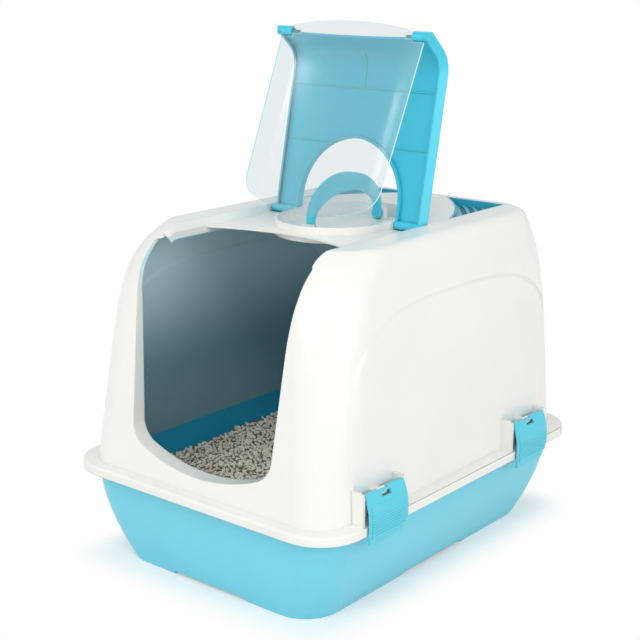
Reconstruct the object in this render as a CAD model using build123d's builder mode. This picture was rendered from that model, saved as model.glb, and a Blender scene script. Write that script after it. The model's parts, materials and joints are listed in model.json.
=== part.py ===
from build123d import *
from math import cos, radians, sin, tan
import os

# Covered litter box, in millimetres.
# The origin is the centre of its footprint on the floor, the doorway faces -Y and +Z is up.
# It is drawn with its lid standing open, its swing door hanging and its carry handle raised.

os.makedirs("parts", exist_ok=True)

# Walls and clearances
wall = 2.6
seat_gap = 0.3
slide_gap = 0.8
pin_r = 2.0
pin_run = 0.05
pin_end = 0.5
over = 1.0

# Tray
tray_inset_x = 17.6
tray_inset_y = 13.8
tray_taper_x = 33.4
tray_taper_y = 21.2
tray_floor_corner = 43.0
tray_top_corner = 45.0
tray_bulge = 1.75
tray_floor = 3.0
foot_height = 3.5
foot_gap_half_x = 55.0
foot_gap_front = 51.0
foot_gap_back = 66.0
litter_top = 90.0
litter_gap = 0.4

# Rim, where the hood's flange caps the tray's rim
flange_half_x = 196.0
flange_half_y = 246.0
flange_corner = 51.0
flange_bottom = 107.0
flange_top = 117.0
flange_edge_r = 3.0
rim_lip = 5.5

# Hood
hood_ledge_x = 17.0
hood_ledge_front = 15.0
hood_ledge_back = 17.0
hood_base_corner = 40.2
hood_top_corner = 62.4
hood_lean_x = 6.9
hood_crown_x = 22.5
hood_crown_x_power = 6.57
hood_lean_front = 37.0
hood_crown_front = 44.9
hood_crown_front_power = 11.9
hood_lean_back = 0.5
hood_crown_back = 10.35
hood_top = 385.0
crest_r = 16.0
loft_steps = 12

# Doorway in the hood's front
sill_z = 134.0
sill_end_x = 87.0
sill_end_z = 152.0
sill_corner_x = 96.75
sill_corner_z = 160.5
jamb_low_x = 102.0
jamb_low_z = 172.0
jamb_mid_x = 109.3
jamb_mid_z = 300.0
jamb_top_x = 114.0
jamb_top_z = 345.0
reveal_depth_low = 20.5
reveal_depth_least = 4.0
reveal_lean = 4.5
web_z = 372.0
web_turn_r = 4.0

# Recess for the lid, and the shelf in it
shelf_top = 376.5
recess_top_half = 112.2
recess_top_z = 386.0
recess_floor_half = 106.0
skirt_drop = 8.5
skirt_low_half = 106.0
skirt_turn = 38.0
shelf_edge_y = -71.6
shelf_edge_r = 237.0

# Well for the carry handle
well_room_end = 14.3
well_room_side = 8.0
well_wall = 3.5
well_floor = 370.0
well_plate = 3.0

# Lid, described along its length (u) and across its thickness (v) from the hinge
hinge_y = 27.0
hinge_z = 380.4
lid_lean = 11.8
lid_face = 5.1
lid_panel = 3.0
lid_depth = 8.5
lid_flange = 2.6
lid_straight = 170.0
lid_bend_r = 32.0
lid_bend = 60.0
lid_nose = 29.2
lid_rib_low = 85.4
lid_rib_high = 150.3
lid_rib_turn = 42.0
lid_rib_half = 0.8
lid_rib_height = 0.8
arch_room = 4.5
lid_boss_r = 4.5
lid_boss_length = 19.0
lid_boss_cap = 2.0
boss_back = 4.5
door_axis_drop = 4.5
nose_cut_middle = 8.0
nose_cut_end = 6.0

# Swing door
door_lean = 24.0
door_sheet = 2.0
door_room_top = 4.0
door_room_low = 8.5
door_length = 213.0
door_low_r = 230.0
door_corner_r = 28.0
door_shoulder = 6.0
door_tab_height = 15.6
door_tab_end = 7.5
door_tab_bend = 40.0
door_barrel_r = 3.6
door_barrel_length = 10.0

# Carry handle
handle_y = 25.0
handle_z = 377.5
handle_half = 64.3
handle_leg = 5.0
handle_thick = 9.0
handle_leg_top = 388.0
handle_inner_leg_top = 383.0
handle_rise = 45.5
handle_inner_rise = 29.7
handle_foot_r = 6.5
ear_wall = 7.0
ear_half = 8.0
ear_top = 383.0
ear_gap = 0.4

# Clips
clip_front_inset = 95.0
clip_rear_inset = 115.0
clip_width = 65.0
clip_pivot_inset = 8.8
clip_pivot_z = 144.0
clip_wall = 2.2
clip_knuckle_r = 4.2
clip_top_z = 149.5
clip_bulge_z = 122.0
clip_low_z = 97.0
clip_bulge_out = 4.4
clip_tuck = 0.6
clip_top_inset = 2.2
clip_steps = 6
clip_rib_top = 137.5
clip_rib_low = 100.5
clip_rib_pitch = 3.1
clip_rib_height = 0.7
clip_rib_margin = 3.5
clip_rib_root = 0.5
clip_window = 15.0
clip_window_low = 142.2
clip_window_high = 147.0
clip_pin_half = 14.0
clip_corner_width = 11.0
clip_corner_height = 14.0
hook_top = 101.6
hook_bottom = 99.0
hook_slope = 1.0
hook_gap = 0.4
hook_half = 16.0
lug_half = 6.5
lug_r = 4.6
tray_lug_inset = 2.4
tray_lug_low = 102.4
tray_lug_high = 106.4
cheek_thick = 3.0
cheek_inset = 2.0
cheek_top = 153.0
cheek_r = 6.0

# Vent grilles in the top's rear corners
vent_side_inset = 39.6
vent_back_inset = 22.15
vent_width = 85.0
vent_length = 119.0
vent_bow_x = 37.0
vent_bow_y = 52.0
vent_depth = 10.0
vent_wall = 1.6
vent_floor = 3.0
vent_lip = 3.0
vent_lip_thick = 2.4
vent_edge = 8.0
vent_slot = 6.0
vent_bar = 4.0
vent_slots = 4

# Sizes that follow from the ones above
tray_top_half_x = flange_half_x - tray_inset_x
tray_top_half_y = flange_half_y - tray_inset_y
tray_floor_half_x = tray_top_half_x - tray_taper_x
tray_floor_half_y = tray_top_half_y - tray_taper_y
hood_base_half_x = flange_half_x - hood_ledge_x
hood_base_front = flange_half_y - hood_ledge_front
hood_base_back = flange_half_y - hood_ledge_back
door_axis_u = lid_straight + lid_bend_r * sin(radians(lid_bend))
door_axis_u += (lid_nose - boss_back) * cos(radians(lid_bend)) - door_axis_drop * sin(radians(lid_bend))
door_axis_v = lid_face - lid_bend_r * (1 - cos(radians(lid_bend)))
door_axis_v -= (lid_nose - boss_back) * sin(radians(lid_bend)) + door_axis_drop * cos(radians(lid_bend))
lean_sin = sin(radians(lid_lean))
lean_cos = cos(radians(lid_lean))
door_axis_y = hinge_y + door_axis_u * lean_sin + door_axis_v * lean_cos
door_axis_z = hinge_z + door_axis_u * lean_cos - door_axis_v * lean_sin
stop_y = hinge_y + (lid_face + seat_gap) / lean_cos + (hood_top - hinge_z) * tan(radians(lid_lean))
bend_y = hinge_y - lid_straight
bend_z = hinge_z + lid_face - lid_bend_r
well_r = handle_rise + handle_leg_top - handle_z + well_room_side
well_half = handle_half + ear_gap + ear_wall + well_room_end
well_front_y = handle_y - well_half + well_r
well_rear_y = handle_y + well_half - well_r
well_outer_r = well_r + well_wall
arch_r = well_outer_r + arch_room
arch_top = hinge_y - well_front_y + well_outer_r + slide_gap
arch_centre = arch_top - arch_r
deck_under = hood_top - wall - seat_gap
clip_front_y = clip_front_inset - flange_half_y
clip_rear_y = flange_half_y - clip_rear_inset
clip_pivot_x = flange_half_x - clip_pivot_inset
clip_bulge_x = flange_half_x + clip_bulge_out
clip_top_x = flange_half_x - clip_top_inset
tray_lug_half_x = flange_half_x - tray_lug_inset
cheek_x = flange_half_x - cheek_inset
wall_in_x = hood_base_half_x - wall
reveal_low_y = reveal_depth_low - hood_base_front
reveal_high_y = reveal_low_y + (hood_top - flange_top) * tan(radians(reveal_lean))
vent_side_x = hood_base_half_x - hood_lean_x - hood_crown_x - vent_side_inset
vent_back_y = hood_base_back - hood_lean_back - hood_crown_back - vent_back_inset
vent_side_front = vent_back_y - vent_length
vent_back_inner = vent_side_x - vent_width
vent_arc_mid_x = vent_side_x - vent_bow_x
vent_arc_mid_y = vent_back_y - vent_bow_y


def cut_block(x0, x1, y0, y1, z0, z1, mode=Mode.SUBTRACT):
    """A box between two corners, cut from the part in hand or added to it."""
    with Locations(((x0 + x1) / 2, (y0 + y1) / 2, (z0 + z1) / 2)):
        Box(x1 - x0, y1 - y0, z1 - z0, mode=mode)


def cut_rod(start, end, radius, mode=Mode.SUBTRACT):
    """A round bar from one point to another, cut from the part in hand or added to it."""
    line = Vector(*end) - Vector(*start)
    with BuildSketch(Plane(origin=start, z_dir=line)) as disc:
        Circle(radius)
    extrude(disc.sketch, amount=line.length, dir=line.normalized(), mode=mode)


def pin(start, end):
    """A pin of the common radius between two points."""
    with BuildPart() as shaft:
        cut_rod(start, end, pin_r, Mode.ADD)
    return shaft.part


def draw_rounded_rectangle(half_x, front, back, corner):
    """A rounded rectangle in the sketch in hand, from y = -front to y = back."""
    with Locations((0, (back - front) / 2)):
        RectangleRounded(2 * half_x, front + back, corner)


def draw_tray_outline(z, inset):
    """The tray's outline at a height, moved inwards."""
    share = 1 - (1 - z / flange_bottom) ** tray_bulge
    half_x = tray_floor_half_x + (tray_top_half_x - tray_floor_half_x) * share
    half_y = tray_floor_half_y + (tray_top_half_y - tray_floor_half_y) * share
    corner = tray_floor_corner + (tray_top_corner - tray_floor_corner) * share
    draw_rounded_rectangle(half_x - inset, half_y - inset, half_y - inset, corner - inset)


def draw_hood_outline(z, inset):
    """The hood's outline at a height, moved inwards."""
    rise = (z - flange_top) / (hood_top - flange_top)
    half_x = hood_base_half_x - hood_lean_x * rise - hood_crown_x * rise**hood_crown_x_power
    front = hood_base_front - hood_lean_front * rise - hood_crown_front * rise**hood_crown_front_power
    back = hood_base_back - hood_lean_back * rise - hood_crown_back * rise**2
    corner = hood_base_corner + (hood_top_corner - hood_base_corner) * rise
    draw_rounded_rectangle(half_x - inset, front - inset, back - inset, corner - inset)


def lofted(draw, low, high, inset):
    """A closed form through the outlines that a function draws between two heights."""
    with BuildPart() as form:
        for step in range(loft_steps + 1):
            z = low + (high - low) * step / loft_steps
            with BuildSketch(Plane.XY.offset(z)):
                draw(z, inset)
        loft()
    return form.part


def hood_form(inset, top, edge_r):
    """The hood's form, moved inwards, with a rounded top edge."""
    with BuildPart() as form:
        add(lofted(draw_hood_outline, flange_top, top, inset))
        fillet(form.faces().sort_by(Axis.Z)[-1].edges(), edge_r)
    return form.part


def doorway_prism(grow, back):
    """The doorway's outline, moved outwards, run through the front as far as a depth."""
    top = hood_top + crest_r
    front = hood_base_front + crest_r
    web_bow = web_turn_r * (1 - cos(radians(45)))
    with BuildPart() as prism:
        with BuildSketch(Plane.XZ.offset(front)):
            with BuildLine():
                ThreePointArc((-sill_end_x, sill_end_z), (0, sill_z), (sill_end_x, sill_end_z))
                for side in (-1, 1):
                    ThreePointArc((side * sill_end_x, sill_end_z), (side * sill_corner_x, sill_corner_z),
                                  (side * jamb_low_x, jamb_low_z))
                    Polyline((side * jamb_low_x, jamb_low_z), (side * jamb_mid_x, jamb_mid_z),
                             (side * jamb_top_x, jamb_top_z), (side * jamb_top_x, web_z - web_turn_r))
                    ThreePointArc((side * jamb_top_x, web_z - web_turn_r),
                                  (side * (jamb_top_x - web_bow), web_z - web_bow),
                                  (side * (jamb_top_x - web_turn_r), web_z))
                    Polyline((side * (jamb_top_x - web_turn_r), web_z), (side * recess_floor_half, web_z),
                             (side * recess_floor_half, top))
                Line((-recess_floor_half, top), (recess_floor_half, top))
            make_face()
            if grow:
                offset(amount=grow, kind=Kind.ARC)
        extrude(amount=-(front + back))
    return prism.part


def recess_room(grow, floor, wide_z, turn):
    """The lid's room across the top, straight from its stop and then turned down at the front."""
    slope = (recess_top_half - recess_floor_half) / (recess_top_z - shelf_top)
    low_half = recess_floor_half - (shelf_top - floor) * (recess_floor_half - skirt_low_half) / skirt_drop
    right = [
        (recess_top_half + slope * (wide_z - recess_top_z) + grow, wide_z),
        (recess_floor_half + grow, shelf_top),
        (low_half + grow, floor),
    ]
    outline = right + [(-x, z) for x, z in reversed(right)]
    section_plane = Plane(origin=(0, bend_y, 0), x_dir=(1, 0, 0), z_dir=(0, -1, 0))
    with BuildPart() as room:
        with BuildSketch(section_plane):
            with BuildLine():
                Polyline(outline, close=True)
            make_face()
        extrude(amount=-(stop_y + grow - bend_y))
        with BuildSketch(section_plane):
            with BuildLine():
                Polyline(outline, close=True)
            make_face()
        revolve(axis=Axis((0, bend_y, bend_z), (1, 0, 0)), revolution_arc=turn)
    return room.part


def shelf_plate(thickness):
    """The shelf behind the open front of the top, with its curved front edge."""
    half = recess_floor_half + wall
    end_y = shelf_edge_y + (half**2 / (2 * shelf_edge_r)) * -1
    with BuildPart() as plate:
        with BuildSketch(Plane.XY.offset(shelf_top - thickness)):
            with BuildLine():
                ThreePointArc((-half, end_y), (0, shelf_edge_y), (half, end_y))
                Polyline((half, end_y), (half, stop_y + wall), (-half, stop_y + wall), (-half, end_y))
            make_face()
        extrude(amount=thickness)
    return plate.part


def stadium(radius, low, high):
    """The handle well's plan between two heights."""
    with BuildPart() as form:
        with BuildSketch(Plane.XY.offset(low)):
            with Locations((0, (well_front_y + well_rear_y) / 2)):
                SlotCenterToCenter(well_rear_y - well_front_y, 2 * radius, rotation=90)
        extrude(amount=high - low)
    return form.part


def vent_prism(grow, low, high):
    """The right vent's triangle, with a curved inner side, between two heights."""
    with BuildPart() as form:
        with BuildSketch(Plane.XY.offset(low)):
            with BuildLine():
                Polyline((vent_back_inner, vent_back_y), (vent_side_x, vent_back_y),
                         (vent_side_x, vent_side_front))
                ThreePointArc((vent_side_x, vent_side_front), (vent_arc_mid_x, vent_arc_mid_y),
                              (vent_back_inner, vent_back_y))
            make_face()
            if grow:
                offset(amount=grow, kind=Kind.ARC)
        extrude(amount=high - low)
    return form.part


def cheek(side, y):
    """A thin upright beside a clip, with a rounded outer corner."""
    bottom = flange_top - wall / 2
    bow = cheek_r * (1 - cos(radians(45)))
    with BuildPart() as upright:
        with BuildSketch(Plane.XZ.offset(-y)):
            with BuildLine():
                ThreePointArc((side * cheek_x, cheek_top - cheek_r),
                              (side * (cheek_x - bow), cheek_top - bow),
                              (side * (cheek_x - cheek_r), cheek_top))
                Polyline((side * (cheek_x - cheek_r), cheek_top), (side * wall_in_x, cheek_top),
                         (side * wall_in_x, bottom), (side * cheek_x, bottom),
                         (side * cheek_x, cheek_top - cheek_r))
            make_face()
        extrude(amount=cheek_thick / 2, both=True)
    return upright.part


# Names, sides and places of the four clips
clips = [
    ("front_right", 1, clip_front_y),
    ("front_left", -1, clip_front_y),
    ("rear_right", 1, clip_rear_y),
    ("rear_left", -1, clip_rear_y),
]


# Base tray: a bulging tub with four feet, a rim that the flange caps, and a lug under each clip
tray_outside = lofted(draw_tray_outline, 0, flange_bottom, 0)
tray_inside = lofted(draw_tray_outline, foot_height + tray_floor, flange_bottom, wall)
rim_top = flange_top - wall - seat_gap
rim_half_x = flange_half_x - wall - seat_gap
rim_half_y = flange_half_y - wall - seat_gap
rim_corner = flange_corner - wall - seat_gap

with BuildPart() as base_tray:
    add(tray_outside)
    with BuildSketch(Plane.XY.offset(flange_bottom)):
        draw_tray_outline(flange_bottom, 0)
    extrude(amount=rim_top - flange_bottom)
    with BuildSketch(Plane.XY.offset(rim_top - rim_lip)):
        draw_rounded_rectangle(rim_half_x, rim_half_y, rim_half_y, rim_corner)
    extrude(amount=rim_lip)
    with BuildSketch(Plane.XY.offset(rim_top - rim_lip)):
        draw_rounded_rectangle(rim_half_x - wall, rim_half_y - wall, rim_half_y - wall, rim_corner - wall)
        RectangleRounded(2 * tray_top_half_x, 2 * tray_top_half_y, tray_top_corner, mode=Mode.SUBTRACT)
    extrude(amount=rim_lip - wall, mode=Mode.SUBTRACT)
    for name, side, y in clips:
        x0, x1 = sorted((side * (tray_top_half_x - wall), side * tray_lug_half_x))
        cut_block(x0, x1, y - hook_half, y + hook_half, tray_lug_low, tray_lug_high, Mode.ADD)
    add(tray_inside, mode=Mode.SUBTRACT)
    with BuildSketch(Plane.XY.offset(flange_bottom)):
        draw_tray_outline(flange_bottom, wall)
    extrude(amount=rim_top - flange_bottom, mode=Mode.SUBTRACT)
    cut_block(-foot_gap_half_x, foot_gap_half_x, -flange_half_y, flange_half_y, -wall, foot_height)
    cut_block(-flange_half_x, flange_half_x, -foot_gap_front, foot_gap_back, -wall, foot_height)
base_tray.part.label = "base_tray"
export_step(base_tray.part, "parts/base_tray.step")


# Litter: one still bed that fills the lower tray
with BuildPart() as litter_bed:
    add(lofted(draw_tray_outline, foot_height + tray_floor + litter_gap, litter_top, wall + litter_gap))
litter_bed.part.label = "litter_bed"
export_step(litter_bed.part, "parts/litter_bed.step")


# Hood: a thin shell with a flange, doorway, lid recess, handle well, vents and clip lugs
outside = hood_form(0, hood_top, crest_r)
inside = hood_form(wall, deck_under, crest_r - wall)
skirts = recess_room(wall, shelf_top - skirt_drop, hood_top + crest_r, skirt_turn)
lid_room = recess_room(0, shelf_top - skirt_drop - wall, hood_top + 2 * crest_r, lid_bend)
shelf = shelf_plate(wall)
well_outside = stadium(well_outer_r, well_floor - well_plate, hood_top)
hinge_block_out = recess_top_half + wall
lid_pin_in = well_r + wall
lid_pin_out = hinge_block_out - over
pocket_front = hinge_y - lid_face - lid_panel
pocket_floor = hinge_z - lid_face - slide_gap

with BuildPart() as hinge_seats:
    for side in (-1, 1):
        x0, x1 = sorted((side * well_r, side * hinge_block_out))
        cut_block(x0, x1, pocket_front - wall, stop_y + wall, pocket_floor - wall, hood_top, Mode.ADD)

with BuildPart() as behind_reveal:
    add(inside.moved(Location((0, reveal_depth_least, 0))))
    with BuildSketch(Plane.YZ):
        with BuildLine():
            Polyline((reveal_low_y, flange_top - wall), (reveal_high_y, hood_top), (hood_base_back, hood_top),
                     (hood_base_back, flange_top - wall), close=True)
        make_face()
    extrude(amount=hood_base_half_x, both=True, mode=Mode.INTERSECT)

with BuildPart() as reveal:
    add(doorway_prism(wall, -shelf_edge_y - crest_r))
    add(doorway_prism(0, -shelf_edge_y - crest_r), mode=Mode.SUBTRACT)
    add(behind_reveal.part, mode=Mode.SUBTRACT)

with BuildPart() as hollow:
    add(inside)
    add(skirts, mode=Mode.SUBTRACT)
    add(well_outside, mode=Mode.SUBTRACT)
    add(hinge_seats.part, mode=Mode.SUBTRACT)
    add(reveal.part, mode=Mode.SUBTRACT)

with BuildPart() as lid_cut:
    add(lid_room)
    add(shelf, mode=Mode.SUBTRACT)
    add(well_outside, mode=Mode.SUBTRACT)
    add(hinge_seats.part, mode=Mode.SUBTRACT)

with BuildPart() as door_cut:
    add(doorway_prism(0, bend_y))
    add(skirts, mode=Mode.SUBTRACT)

with BuildPart() as flange:
    with BuildSketch(Plane.XY.offset(flange_bottom)):
        draw_rounded_rectangle(flange_half_x, flange_half_y, flange_half_y, flange_corner)
    extrude(amount=flange_top - flange_bottom)
    fillet(flange.faces().sort_by(Axis.Z)[-1].edges(), flange_edge_r)
    with BuildSketch(Plane.XY.offset(flange_bottom)):
        draw_rounded_rectangle(flange_half_x - wall, flange_half_y - wall, flange_half_y - wall,
                               flange_corner - wall)
    extrude(amount=flange_top - wall - flange_bottom, mode=Mode.SUBTRACT)
    with BuildSketch(Plane.XY.offset(flange_top)):
        draw_hood_outline(flange_top, wall)
    extrude(amount=-2 * wall, mode=Mode.SUBTRACT)

with BuildPart() as hood:
    add(outside)
    add(hollow.part, mode=Mode.SUBTRACT)
    add(lid_cut.part, mode=Mode.SUBTRACT)
    add(door_cut.part, mode=Mode.SUBTRACT)
    add(flange.part)
    add(stadium(well_r, well_floor, hood_top + crest_r), mode=Mode.SUBTRACT)
    for side in (-1, 1):
        x0, x1 = sorted((side * (arch_r - slide_gap), side * recess_top_half))
        cut_block(x0, x1, pocket_front, stop_y, pocket_floor, hood_top + crest_r)
        cut_block(x0, x1, pocket_front - 2 * wall, pocket_front, shelf_top, hood_top + crest_r)
        cut_rod((side * lid_pin_in, hinge_y, hinge_z), (side * lid_pin_out, hinge_y, hinge_z), pin_r)
    for y, out in ((handle_y - handle_half, -1), (handle_y + handle_half, 1)):
        ear_in = y + out * ear_gap
        y0, y1 = sorted((ear_in, ear_in + out * ear_wall))
        cut_block(-ear_half, ear_half, y0, y1, well_floor - over, ear_top, Mode.ADD)
        cut_rod((0, ear_in, handle_z), (0, ear_in + out * (ear_wall - over), handle_z), pin_r)
    for side in (-1, 1):
        vent_hole = vent_prism(seat_gap, deck_under - wall, hood_top + crest_r)
        add(vent_hole if side > 0 else mirror(vent_hole, about=Plane.YZ, mode=Mode.PRIVATE),
            mode=Mode.SUBTRACT)
    for name, side, y in clips:
        x0, x1 = sorted((side * wall_in_x, side * clip_pivot_x))
        cut_block(x0, x1, y - lug_half, y + lug_half, clip_pivot_z - pin_r, clip_pivot_z + pin_r, Mode.ADD)
        cut_rod((side * clip_pivot_x, y - lug_half, clip_pivot_z),
                (side * clip_pivot_x, y + lug_half, clip_pivot_z), lug_r, Mode.ADD)
        cut_rod((side * clip_pivot_x, y - lug_half, clip_pivot_z),
                (side * clip_pivot_x, y + lug_half, clip_pivot_z), pin_r)
        for cheek_y in (y - clip_width / 2 - slide_gap - cheek_thick / 2,
                        y + clip_width / 2 + slide_gap + cheek_thick / 2):
            add(cheek(side, cheek_y))
hood.part.label = "hood"
export_step(hood.part, "parts/hood.step")


# Lid: a channel along its length, bent down at its free end, with an arch that clears the handle well
hinge = Vector(0, hinge_y, hinge_z)
along = Vector(0, lean_sin, lean_cos)
outward = Vector(0, lean_cos, -lean_sin)
bend_cos = cos(radians(lid_bend))
bend_sin = sin(radians(lid_bend))
nose_along = along * bend_cos - outward * bend_sin
nose_outward = outward * bend_cos + along * bend_sin
bend_axis_v = lid_face - lid_bend_r
bend_point = hinge + along * lid_straight + outward * bend_axis_v
recess_slope = (recess_top_half - recess_floor_half) / (recess_top_z - shelf_top)
lid_half_face = recess_floor_half + recess_slope * (hinge_z + lid_face - shelf_top) - slide_gap
lid_half_edge = lid_half_face - recess_slope * lid_depth
lid_boss_out = lid_half_edge - seat_gap
lid_boss_in = lid_boss_out - lid_boss_length
lid_root = Plane(origin=hinge, x_dir=(1, 0, 0), z_dir=along)
lid_bend_plane = Plane(origin=hinge + along * lid_straight, x_dir=(1, 0, 0), z_dir=along)
lid_nose_plane = Plane(origin=bend_point - nose_outward * bend_axis_v, x_dir=(1, 0, 0), z_dir=nose_along)
lid_face_plane = Plane(origin=hinge + outward * lid_face, x_dir=(1, 0, 0), z_dir=-outward)
lid_under_plane = Plane(origin=hinge + outward * (lid_face - lid_panel), x_dir=(1, 0, 0), z_dir=-outward)
door_axis = Vector(0, door_axis_y, door_axis_z)


def draw_channel():
    """The lid's section: its panel with a slanted flange on each side."""
    right = [
        (lid_half_face, lid_face),
        (lid_half_edge, lid_face - lid_depth),
        (lid_half_edge - lid_flange, lid_face - lid_depth),
        (lid_half_face - lid_flange - recess_slope * lid_panel, lid_face - lid_panel),
    ]
    with BuildLine() as outline:
        Polyline(right + [(-x, v) for x, v in reversed(right)], close=True)
    make_face(outline.edges())


def draw_arch(radius):
    """The arch between the lid's legs."""
    with Locations((0, arch_centre)):
        Circle(radius)
    with Locations((0, (arch_centre - 2 * lid_face) / 2)):
        Rectangle(2 * radius, arch_centre + 2 * lid_face)


with BuildPart() as flip_lid:
    with BuildSketch(lid_root):
        draw_channel()
    extrude(amount=lid_straight)
    with BuildSketch(lid_bend_plane):
        draw_channel()
    revolve(axis=Axis(bend_point, (1, 0, 0)), revolution_arc=lid_bend)
    with BuildSketch(lid_nose_plane):
        draw_channel()
    extrude(amount=lid_nose)
    with BuildSketch(lid_face_plane):
        draw_arch(arch_r + lid_flange)
        with Locations((0, -lid_straight / 2)):
            Rectangle(2 * lid_half_face, lid_straight, mode=Mode.SUBTRACT)
    extrude(amount=lid_depth)
    with BuildSketch(lid_under_plane):
        with Locations((0, lid_rib_high)):
            Rectangle(2 * (lid_half_edge - lid_flange), 2 * lid_rib_half)
        with Locations((0, lid_rib_low)):
            Rectangle(2 * (lid_half_edge - lid_flange), 2 * lid_rib_half)
        with Locations((0, (lid_rib_high + lid_straight) / 2)):
            Rectangle(2 * lid_rib_half, lid_straight - lid_rib_high)
    extrude(amount=lid_rib_height)
    with BuildSketch(lid_bend_plane):
        with Locations((0, lid_face - lid_panel)):
            Rectangle(2 * lid_rib_half, 2 * lid_rib_height)
    revolve(axis=Axis(bend_point, (1, 0, 0)), revolution_arc=lid_rib_turn)
    for side in (-1, 1):
        cut_rod((side * arch_r, hinge_y, hinge_z), (side * lid_half_face, hinge_y, hinge_z),
                lid_face, Mode.ADD)
        cut_rod((side * lid_boss_in, door_axis_y, door_axis_z),
                (side * (lid_boss_out + lid_flange), door_axis_y, door_axis_z), lid_boss_r, Mode.ADD)
    with BuildSketch(lid_face_plane):
        draw_arch(arch_r)
    extrude(amount=2 * lid_face, both=True, mode=Mode.SUBTRACT)
    with BuildSketch(Plane(origin=door_axis, x_dir=(1, 0, 0), z_dir=nose_outward)):
        nose_half = lid_boss_in - seat_gap
        with BuildLine():
            ThreePointArc((-nose_half, nose_cut_end), (0, nose_cut_middle), (nose_half, nose_cut_end))
            Polyline((nose_half, nose_cut_end), (nose_half, -lid_nose), (-nose_half, -lid_nose),
                     (-nose_half, nose_cut_end))
        make_face()
    extrude(amount=lid_depth, both=True, mode=Mode.SUBTRACT)
    for side in (-1, 1):
        cut_rod((side * (arch_r - over), hinge_y, hinge_z), (side * (lid_half_face + over), hinge_y, hinge_z),
                pin_r + pin_run)
        cut_rod((side * (lid_boss_in - over), door_axis_y, door_axis_z),
                (side * (lid_boss_out - lid_boss_cap), door_axis_y, door_axis_z), pin_r + pin_run)
flip_lid.part.label = "flip_lid"
export_step(flip_lid.part, "parts/flip_lid.step")


# Hinge pins of the lid, from the well's wall to the recess's side
for name, side in (("left", -1), ("right", 1)):
    lid_pin = pin((side * lid_pin_in, hinge_y, hinge_z), (side * lid_pin_out, hinge_y, hinge_z))
    lid_pin.label = f"lid_pivot_{name}"
    export_step(lid_pin, f"parts/lid_pivot_{name}.step")


# Swing door: a clear sheet that hangs from two barrels, with a tab turned forwards above them
door_up = Vector(0, sin(radians(door_lean)), cos(radians(door_lean)))
tab_lean = radians(door_lean - door_tab_bend)
tab_up = Vector(0, sin(tab_lean), cos(tab_lean))
barrel_out = lid_boss_in - seat_gap
door_bore_in = barrel_out - door_barrel_length + over
door_half_top = lid_half_edge - door_room_top
door_half_low = lid_half_edge - door_room_low
door_plane = Plane(origin=door_axis, x_dir=(1, 0, 0), z_dir=Vector(1, 0, 0).cross(door_up))
tab_plane = Plane(origin=door_axis, x_dir=(1, 0, 0), z_dir=Vector(1, 0, 0).cross(tab_up))

with BuildPart() as swing_door:
    with BuildSketch(door_plane) as door_sketch:
        low_corner = door_low_r - (door_low_r**2 - door_half_low**2) ** 0.5 - door_length
        with BuildLine():
            ThreePointArc((-door_half_low, low_corner), (0, -door_length), (door_half_low, low_corner))
            Polyline((door_half_low, low_corner), (door_half_top, -door_shoulder),
                     (barrel_out, -door_shoulder), (barrel_out, 0), (-barrel_out, 0),
                     (-barrel_out, -door_shoulder),
                     (-door_half_top, -door_shoulder), (-door_half_low, low_corner))
        make_face()
        fillet(door_sketch.vertices().group_by(Axis.Y)[0], door_corner_r)
    extrude(amount=door_sheet / 2, both=True)
    with BuildSketch(tab_plane):
        with BuildLine():
            ThreePointArc((-barrel_out, door_tab_end), (0, door_tab_height), (barrel_out, door_tab_end))
            Polyline((barrel_out, door_tab_end), (barrel_out, 0), (-barrel_out, 0),
                     (-barrel_out, door_tab_end))
        make_face()
    extrude(amount=door_sheet / 2, both=True)
    for side in (-1, 1):
        cut_rod((side * (barrel_out - door_barrel_length), door_axis_y, door_axis_z),
                (side * barrel_out, door_axis_y, door_axis_z), door_barrel_r, Mode.ADD)
    for side in (-1, 1):
        cut_rod((side * door_bore_in, door_axis_y, door_axis_z),
                (side * (barrel_out + over), door_axis_y, door_axis_z), pin_r + pin_run)
swing_door.part.label = "swing_door"
export_step(swing_door.part, "parts/swing_door.step")


# Pivot pins of the swing door, one in each boss of the lid
for name, side in (("left", -1), ("right", 1)):
    door_pin = pin((side * (door_bore_in + pin_end), door_axis_y, door_axis_z),
                   (side * (lid_boss_out - lid_boss_cap - pin_end), door_axis_y, door_axis_z))
    door_pin.label = f"door_pivot_{name}"
    export_step(door_pin, f"parts/door_pivot_{name}.step")


# Carry handle: a bail that is thin at its legs and deep at its crown
handle_inner_half = handle_half - handle_leg
with BuildPart() as carry_handle:
    with BuildSketch(Plane.YZ):
        with BuildLine():
            EllipticalCenterArc((handle_y, handle_leg_top), handle_half, handle_rise, arc_size=180)
            EllipticalCenterArc((handle_y, handle_inner_leg_top), handle_inner_half,
                                handle_inner_rise, arc_size=180)
            for side in (-1, 1):
                Polyline((handle_y + side * handle_half, handle_leg_top),
                         (handle_y + side * handle_half, handle_z),
                         (handle_y + side * handle_inner_half, handle_z),
                         (handle_y + side * handle_inner_half, handle_inner_leg_top))
        make_face()
    extrude(amount=handle_thick / 2, both=True)
    for side in (-1, 1):
        cut_rod((0, handle_y + side * handle_inner_half, handle_z),
                (0, handle_y + side * handle_half, handle_z), handle_foot_r, Mode.ADD)
        cut_rod((0, handle_y + side * (handle_inner_half - over), handle_z),
                (0, handle_y + side * (handle_half + over), handle_z), pin_r + pin_run)
carry_handle.part.label = "carry_handle"
export_step(carry_handle.part, "parts/carry_handle.step")


# Pivot pins of the carry handle, one in each ear of the well
for name, side in (("front", -1), ("rear", 1)):
    handle_pin = pin((0, handle_y + side * handle_inner_half, handle_z),
                     (0, handle_y + side * (handle_half + ear_gap + ear_wall - over), handle_z))
    handle_pin.label = f"handle_pivot_{name}"
    export_step(handle_pin, f"parts/handle_pivot_{name}.step")


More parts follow.
